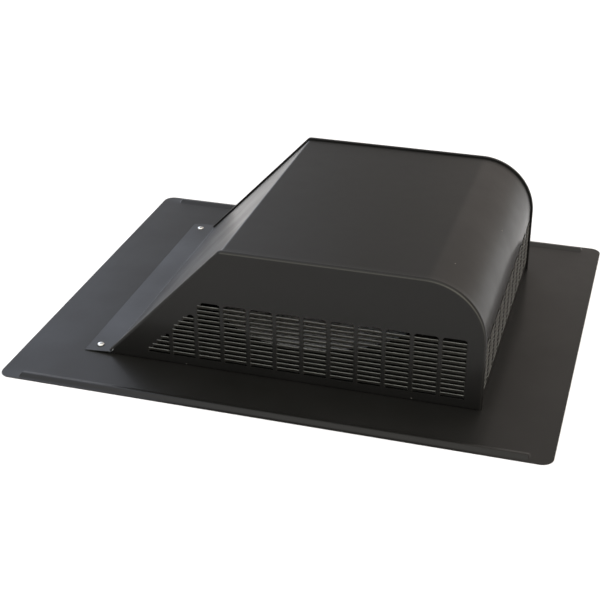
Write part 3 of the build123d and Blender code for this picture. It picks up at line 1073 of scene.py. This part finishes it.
@dataclass
class HoodCover:
    """The hood: one strip of sheet bent into foot, slope, top, rolled front and turned-in flange."""

    layout: Layout
    paint: bpy.types.Material
    # The blades' coat, painted lighter as painted light on the louvre field.
    lightened_blade_paint: bpy.types.Material
    edge: bpy.types.Material
    bend_steps: int = 8
    roll_steps: int = 40
    support: float = 1.5
    strip_reach: float = 5.0
    upturn_bend: float = 0.9
    turn_up_rise: float = 3.5
    upturn_steps: int = 4
    column_ys: tuple[float, ...] = (-123.0, -80.0, -40.0, 0.0, 40.0, 80.0, 123.0)

    def upturn(self, lift: float) -> list[Point]:
        """One side edge of the hood, as places across it and heights above its face.

        Args:
            lift: How far the edge is turned up into the seam, from nought, flat, to one.

        Returns:
            Points from the root of the bend out to the cut edge, for the side at +Y.
        """
        layout = self.layout
        inner = layout.upturn_y - layout.sheet
        root = inner - self.upturn_bend
        bend = arc((root, self.upturn_bend), self.upturn_bend, -math.pi / 2, 0.0, self.upturn_steps)
        height = layout.seam_height - layout.sheet - layout.seam_clearance
        raised = [*bend, (inner, height)]
        last = len(raised) - 1
        flat = [(root + (layout.foot_half_width - root) * index / last, 0.0) for index in range(last + 1)]
        return [(a[0] + (b[0] - a[0]) * lift, b[1] * lift) for a, b in zip(flat, raised)]

    def across(self, lift: float) -> list[Point]:
        """A line right across the hood, from edge to edge, as places and heights."""
        edge = self.upturn(lift)
        near = [(-y, height) for y, height in reversed(edge)]
        return near + [(y, 0.0) for y in self.column_ys] + edge

    def back_path(self) -> list[Point]:
        """The hood's outer face from the side, from the foot's edge to a little way above the louvres."""
        layout = self.layout
        foot_top = 2 * layout.sheet
        top = layout.top_z - layout.seam_height
        radius = layout.roll_outer_radius
        centre = (layout.front_face_x - radius, layout.roll_start_z)
        foot_front = foot_top + layout.foot_rise
        corners = [
            (layout.foot_back_x, foot_top),
            (layout.slope_x(layout.seam_height, foot_front), foot_front),
            (layout.slope_x(layout.seam_height, top), top),
            (centre[0] - self.support, top),
        ]
        radii = [layout.bend_radius, layout.crest_radius + layout.sheet]
        path = rounded(corners, radii, self.bend_steps, self.support)
        turned_z = foot_front + self.turn_up_rise
        below = sum(z < turned_z for _, z in path)
        path.insert(below, (layout.slope_x(layout.seam_height, turned_z), turned_z))
        return path + arc(centre, radius, math.pi / 2, self.strip_reach / radius, self.roll_steps)

    def front_point(self, spot: Point) -> tuple[float, float, float]:
        """Where a point of the front's flat blank goes, measured across and up from the roll's start."""
        layout = self.layout
        y, rise = spot
        radius = layout.roll_outer_radius
        turn = max(rise, 0.0) / radius
        x = layout.front_face_x - radius * (1.0 - math.cos(turn))
        z = layout.roll_start_z + (radius * math.sin(turn) if rise > 0 else rise)
        return x, y, z

    def build(self) -> bpy.types.Object:
        """Build the hood's sheet and its front louvres.

        Returns:
            The finished hood.
        """
        layout = self.layout
        skin = Skin()
        path = self.back_path()
        foot_front = 2 * layout.sheet + layout.foot_rise
        slope_start = layout.slope_x(layout.seam_height, foot_front) + 2 * layout.bend_radius
        rows = []
        for (x, z), (nx, nz) in zip(path, left_normals(path)):
            line = self.across(1.0 if x > slope_start else 0.0)
            rows.append([(x + nx * height, y, z + nz * height) for y, height in line])
        skin.grid(rows)

        bend_top = layout.sheet + layout.bend_radius
        rises = [self.strip_reach, 0.0, (bend_top - layout.roll_start_z) / 2, bend_top - layout.roll_start_z]
        raised = self.upturn(1.0)
        root = raised[0][0]
        ys = [-root, *self.column_ys, root]
        outer = [(y, rises[0]) for y in ys] + [(root, rise) for rise in rises[1:-1]]
        outer += [(y, rises[-1]) for y in reversed(ys)] + [(-root, rise) for rise in reversed(rises[1:-1])]
        holes = [[(y, z - layout.roll_start_z) for y, z in hole] for hole in layout.front_holes()]
        skin.pierced(outer, holes, self.front_point, layout.sill_wear_and_highlight)
        for side in Side:
            rows = []
            for rise in rises:
                x, _, z = self.front_point((0.0, rise))
                turn = max(rise, 0.0) / layout.roll_outer_radius
                nx, nz = math.cos(turn), math.sin(turn)
                rows.append([(x + nx * height, side.value * y, z + nz * height) for y, height in raised])
            skin.grid(rows)

        centre = (layout.front_face_x - layout.bend_radius, bend_top)
        bend = arc(centre, layout.bend_radius, 0.0, -math.pi / 2, self.bend_steps)
        skin.grid([[(x, y, z) for y in ys] for x, z in bend])
        turned_in = [bend[-1], (layout.front_flange_x, layout.sheet)]
        skin.grid([[(x, y, z) for y in self.column_ys] for x, z in turned_in])
        sheet = skin.sheet("hood_sheet", layout.sheet, Vector((0, 0, 1)), [self.paint, self.edge])
        return joined("hood_sheet", [sheet, self.louvres()])

    def louvres(self) -> bpy.types.Object:
        """The blades of the louvred front, turned to face along +X."""
        layout = self.layout
        field = LouvreField(
            layout,
            layout.front_columns,
            layout.front_cells,
            layout.front_column_rights()[0],
            layout.front_column_gap,
            slope_foot=-layout.flange_half_width,
            slope_run=0.0,
        )
        blades = field.blades("front_blades", self.lightened_blade_paint, self.edge)
        for vert in blades.data.vertices:
            x, y, z = vert.co
            vert.co = (layout.front_face_x * MM - y, x, z)
        return blades

    def dress(self) -> None:
        """Build the hood and put it in place of its solid."""
        hand_over(self.build(), Slot.PAINT, "hood_cover")


@dataclass
class SidePanel:
    """A louvred side: its rim folded over the hood's turned-up edge, its foot turned in."""

    layout: Layout
    side: Side
    paint: bpy.types.Material
    # The blades' coat, painted lighter as painted light on the louvre field.
    lightened_blade_paint: bpy.types.Material
    edge: bpy.types.Material
    outer_fold: float = 2.6
    inner_fold: float = 0.8
    rim_steps: int = 8
    # Where on the fold, and which way along the outline, the paint is worn most. This is placed to paint in
    # the highlight along the fold.
    wear_and_highlight_turn: float = math.radians(32.0)
    wear_and_highlight_reach: float = 0.7
    wear_and_highlight_lean: float = math.radians(35.0)
    wear_and_highlight_spread: float = math.radians(60.0)
    arc_steps: int = 32
    support: float = 1.0
    wall_support: float = 0.5
    foot_relief: float = 0.9
    foot_bend: float = 1.2

    def rim(self) -> list[Point]:
        """The folded rim in section: how far inside the outline, and how far across the vent."""
        layout = self.layout
        inner = layout.side_y - layout.seam_width
        outer_centre = (self.outer_fold, layout.side_y - self.outer_fold)
        inner_centre = (self.inner_fold, inner + self.inner_fold)
        outside = arc(outer_centre, self.outer_fold, math.pi / 2, math.pi, self.rim_steps)
        inside = arc(inner_centre, self.inner_fold, math.pi, 1.5 * math.pi, self.rim_steps)
        leg = (layout.seam_height - layout.seam_clearance, inner)
        return [(self.outer_fold + self.wall_support, layout.side_y), *outside, *inside, leg]

    def fold_wear_and_highlight(self, spot: Point, outward: Point) -> float:
        """How far the paint is worn off a point of the rim, most on its outer fold over the roll, where it
        paints in the fold's highlight.

        Args:
            spot: The point's place in the rim's section.
            outward: The way the outline faces there, as x and z.

        Returns:
            The share of the paint that is gone, which is also a painted highlight.
        """
        turn = math.pi / 2 + self.wear_and_highlight_turn
        centre = Vector((self.outer_fold, self.layout.side_y - self.outer_fold))
        worst = centre + self.outer_fold * Vector((math.cos(turn), math.sin(turn)))
        near = 1.0 - (Vector(spot) - worst).length / self.wear_and_highlight_reach
        # The worn share is greatest where the outline leans the highlight's way, so this is a painted
        # highlight as much as worn paint.
        lean = math.atan2(outward[0], outward[1]) - self.wear_and_highlight_lean
        return max(0.0, near) * max(0.0, 1.0 - abs(lean) / self.wear_and_highlight_spread)

    def build(self) -> bpy.types.Object:
        """Build the panel's sheet and its louvres.

        Returns:
            The finished panel.
        """
        layout = self.layout
        sign = self.side.value
        skin = Skin()
        rows = []
        wear_and_highlight_shares = []
        for inset, y in self.rim():
            inside_hood = y < layout.side_y - layout.sheet
            back_z = layout.sheet + (layout.foot_rise + self.foot_relief if inside_hood else 0.0)
            line = layout.side_view(inset, back_z, self.arc_steps, self.support)
            rows.append([(x, sign * y, z) for x, z in line])
            # Each rim point carries worn paint that also paints in the fold's highlight.
            wear_and_highlight_shares.append([self.fold_wear_and_highlight((inset, y), outward) for outward in left_normals(line)])
        skin.grid(rows, rubbed=wear_and_highlight_shares)

        bend_top = layout.sheet + self.foot_bend
        ends = (layout.slope_x(layout.turned_flange / 2, layout.sheet), layout.turned_flange_end_x)
        outer = [(x, z) for x, _, z in rows[0]]
        outer += [(ends[1], layout.sheet), (ends[1], bend_top), (ends[0], bend_top), (ends[0], layout.sheet)]
        holes = layout.side_holes()
        wall = sign * layout.side_y
        skin.pierced(outer, holes, lambda spot: (spot[0], wall, spot[1]), layout.sill_wear_and_highlight)
        bend_y = layout.side_y - self.foot_bend
        bend = arc((bend_y, bend_top), self.foot_bend, 0.0, -math.pi / 2, self.rim_steps)
        foot = [*bend, (layout.panel_flange_y, layout.sheet)]
        skin.grid([[(x, sign * y, z) for x in ends] for y, z in foot])

        name = f"{self.side.name.lower()}_panel_sheet"
        sheet = skin.sheet(name, layout.sheet, Vector((0, sign, 0)), [self.paint, self.edge])
        return joined(name, [sheet, self.louvres()])

    def louvres(self) -> bpy.types.Object:
        """The panel's blades, cut short along the slope and put on their side."""
        layout = self.layout
        field = LouvreField(
            layout,
            layout.side_columns,
            layout.side_cells,
            layout.side_column_rights()[0],
            layout.side_column_gap,
            slope_foot=layout.slope_x(layout.side_slope_margin, 0.0),
            slope_run=1.0 / math.tan(layout.slope),
        )
        blades = field.blades(f"{self.side.name.lower()}_blades", self.lightened_blade_paint, self.edge)
        sign = self.side.value
        for vert in blades.data.vertices:
            x, y, z = vert.co
            vert.co = (x, sign * (layout.side_y * MM - y), z)
        if self.side is Side.RIGHT:
            blades.data.flip_normals()
        return blades

    def dress(self) -> None:
        """Build the panel and put it in place of its solid."""
        hand_over(self.build(), Slot.PAINT, f"{self.side.name.lower()}_side_panel")


@dataclass
class Rivets:
    """Blind rivets with domed heads, each turned its own way."""

    layout: Layout
    metal: bpy.types.Material
    steps: int = 28
    dome_steps: int = 6
    rim_height: float = 0.25
    seed: int = 7

    def profile(self, lift: float) -> list[Point]:
        """Half of a rivet in section, from the bottom of its dimple to the end of its shank.

        Args:
            lift: How far its head sits above two sheets that lie flat on each other.

        Returns:
            Points of radius and height.
        """
        layout = self.layout
        seat = 2 * layout.sheet + lift
        crown = seat + layout.rivet_head_height
        dimple = layout.rivet_dimple_radius
        width = layout.rivet_head_radius - dimple
        rise = layout.rivet_head_height - self.rim_height
        angles = [math.pi / 2 * (1 - step / self.dome_steps) for step in range(self.dome_steps + 1)]
        dome = [(dimple + width * math.cos(a), seat + self.rim_height + rise * math.sin(a)) for a in angles]
        floor = crown - layout.rivet_dimple_depth
        head = [(0.0, floor), (dimple, floor), *dome, (layout.rivet_head_radius, seat)]
        shank = layout.rivet_shank_radius
        return [*head, (shank, seat), (shank, 0.0), (0.0, 0.0)]

    def pattern(self, lift: float) -> bpy.types.Object:
        """One rivet at the origin, turned from its profile."""
        turned = bmesh.new()
        points = [turned.verts.new((radius * MM, 0.0, z * MM)) for radius, z in self.profile(lift)]
        edges = [turned.edges.new(pair) for pair in zip(points, points[1:])]
        bmesh.ops.spin(
            turned,
            geom=points + edges,
            cent=(0, 0, 0),
            axis=(0, 0, 1),
            angle=math.tau,
            steps=self.steps,
            use_merge=True,
        )
        bmesh.ops.remove_doubles(turned, verts=turned.verts, dist=WELD_DISTANCE)
        bmesh.ops.recalc_face_normals(turned, faces=turned.faces)
        data = bpy.data.meshes.new("rivet_pattern")
        turned.to_mesh(data)
        turned.free()
        return bpy.data.objects.new("rivet_pattern", data)

    def tree(self) -> bpy.types.NodeTree:
        """Build the node tree that sets a rivet on every point."""
        tree = bpy.data.node_groups.new("rivet_rows", "GeometryNodeTree")
        kinds = {"Geometry": "Geometry", "Rivet": "Object", "Metal": "Material", "Seed": "Int"}
        for name, kind in kinds.items():
            tree.interface.new_socket(name, in_out="INPUT", socket_type=f"NodeSocket{kind}")
        tree.interface.new_socket("Geometry", in_out="OUTPUT", socket_type="NodeSocketGeometry")
        given = add(tree, "NodeGroupInput").outputs
        rivet = add(tree, "GeometryNodeObjectInfo", {"Object": given["Rivet"]})
        turn = add(
            tree, "FunctionNodeRandomValue", {2: 0.0, 3: math.tau, "Seed": given["Seed"]}, data_type="FLOAT"
        )
        angles = add(tree, "ShaderNodeCombineXYZ", {"Z": turn.outputs[1]})
        rows = add(
            tree,
            "GeometryNodeInstanceOnPoints",
            {"Points": given["Geometry"], "Instance": rivet.outputs["Geometry"], "Rotation": angles},
        )
        plain = add(tree, "GeometryNodeRealizeInstances", {"Geometry": rows})
        finished = add(tree, "GeometryNodeSetMaterial", {"Geometry": plain, "Material": given["Metal"]})
        add(tree, "NodeGroupOutput", {"Geometry": finished})
        return tree

    def dress(self) -> None:
        """Set the rivets of the foot and those inside the hood in place of their solids."""
        layout = self.layout
        tree = self.tree()
        foot_share = (layout.foot_rivet_x - layout.foot_back_x) / layout.foot_width
        rows = (
            ("foot_rivets", layout.foot_rivet_places(), foot_share * layout.foot_rise),
            ("inner_rivets", layout.inner_rivet_places(), 0.0),
        )
        for node, places, lift in rows:
            pattern = self.pattern(lift)
            values = {"Rivet": pattern, "Metal": self.metal, "Seed": self.seed}
            piece = grown(f"{node}_set", tree, values, [(x, y, 0.0) for x, y in places])
            bpy.data.objects.remove(pattern)
            hand_over(piece, Slot.METAL, node)


@dataclass(frozen=True)
class LightPatch:
    """A soft-edged patch of light on the studio's walls or ceiling.

    The edge gives how squarely a direction must look along the axis, from where the patch begins to
    where it is full, as cosines.
    """

    name: str
    axis: tuple[float, float, float]
    edge: Span
    light: Light


@dataclass
class Studio:
    """A pale floor under a soft overhead light, and the camera."""

    floor_size: float = 16.0
    floor_drop: float = 0.0002
    floor_colour: str = "#f8f8f8"
    camera_place: tuple[float, float, float] = (286.87, -1047.64, 587.57)
    camera_elevation: float = 28.10
    camera_azimuth: float = 16.56
    focal_length: float = 79.36
    sensor: float = 36.0
    back_wall: Light = (0.25, 0.235, 0.215, 1.0)
    patches: tuple[LightPatch, ...] = (
        LightPatch("right wall", (1.0, 0.0, 0.0), (-0.18, -0.06), (0.84, 0.76, 0.71, 1.0)),
        LightPatch("curtain", (-1.0, 0.0, 0.0), (0.20, 0.36), (0.62, 0.62, 0.64, 1.0)),
        LightPatch("window", (-1.0, 0.0, 0.0), (0.36, 0.43), (1.78, 1.92, 2.26, 1.0)),
        LightPatch("left wall", (-1.0, 0.0, 0.0), (0.58, 0.78), (0.42, 0.42, 0.42, 1.0)),
        LightPatch("horizon", (0.0, 0.0, -1.0), (-0.20, 0.0), (1.06, 1.03, 0.97, 1.0)),
        LightPatch("ceiling", (0.15, -0.25, 0.95), (0.68, 0.82), (1.95, 1.90, 1.80, 1.0)),
    )

    def floor(self) -> None:
        """Lay the floor."""
        work = bmesh.new()
        bmesh.ops.create_grid(work, x_segments=1, y_segments=1, size=self.floor_size / 2)
        data = bpy.data.meshes.new("studio_floor")
        work.to_mesh(data)
        work.free()
        paper, tree = blank_finish("matt_white_paper")
        matt = add(tree, "ShaderNodeBsdfDiffuse", {"Color": linear(self.floor_colour)})
        add(tree, "ShaderNodeOutputMaterial", {"Surface": matt})
        data.materials.append(paper)
        floor = bpy.data.objects.new("studio_floor", data)
        floor.location.z = -self.floor_drop
        bpy.context.scene.collection.objects.link(floor)

    def sky(self) -> None:
        """Light the studio from a dim back wall with softer and brighter patches laid over it in order."""
        world = bpy.data.worlds.new("studio_light")
        world.use_nodes = True
        bpy.context.scene.world = world
        tree = world.node_tree
        tree.nodes.clear()
        direction = add(tree, "ShaderNodeTexCoord").outputs["Generated"]
        light = self.back_wall
        for patch in self.patches:
            towards = add(
                tree,
                "ShaderNodeVectorMath",
                {0: direction, 1: Vector(patch.axis).normalized()},
                operation="DOT_PRODUCT",
                label=patch.name,
            )
            share = add(
                tree,
                "ShaderNodeMapRange",
                {"Value": towards.outputs["Value"], "From Min": patch.edge[0], "From Max": patch.edge[1]},
                interpolation_type="SMOOTHSTEP",
            )
            mixed = add(
                tree, "ShaderNodeMix", {"Factor": share, "A": light, "B": patch.light}, data_type="RGBA"
            )
            light = mixed.outputs["Result"]
        glow = add(tree, "ShaderNodeBackground", {"Color": light, "Strength": 1.0})
        add(tree, "ShaderNodeOutputWorld", {"Surface": glow})

    def camera(self) -> None:
        """Set up the camera where the picture was taken from."""
        lens = bpy.data.cameras.new("camera")
        lens.lens = self.focal_length
        lens.sensor_width = self.sensor
        camera = bpy.data.objects.new("camera", lens)
        camera.location = Vector(self.camera_place) * MM
        tilt = math.radians(90.0 - self.camera_elevation)
        camera.rotation_euler = (tilt, 0.0, math.radians(self.camera_azimuth))
        bpy.context.scene.collection.objects.link(camera)
        bpy.context.scene.camera = camera

    def set_up(self) -> None:
        """Set up the floor, the light, the camera and the plain view."""
        self.floor()
        self.sky()
        self.camera()
        bpy.context.scene.view_settings.view_transform = "Standard"


def main() -> None:
    """Build and dress every sub-assembly in order, then set up the studio."""
    logging.basicConfig(level=logging.INFO, format="%(name)s: %(message)s")
    layout = Layout()
    paint = FLAT_COAT.material()
    lightened_blade_paint = LIGHTENED_BLADE_COAT.material()
    edge = EDGE_ALUMINIUM.material()
    BaseFlange(layout, paint).dress()
    HoodCover(layout, paint, lightened_blade_paint, edge).dress()
    for side in Side:
        SidePanel(layout, side, paint, lightened_blade_paint, edge).dress()
    Rivets(layout, RIVET_ALUMINIUM.material()).dress()
    Studio().set_up()


if __name__ == "__main__":
    main()
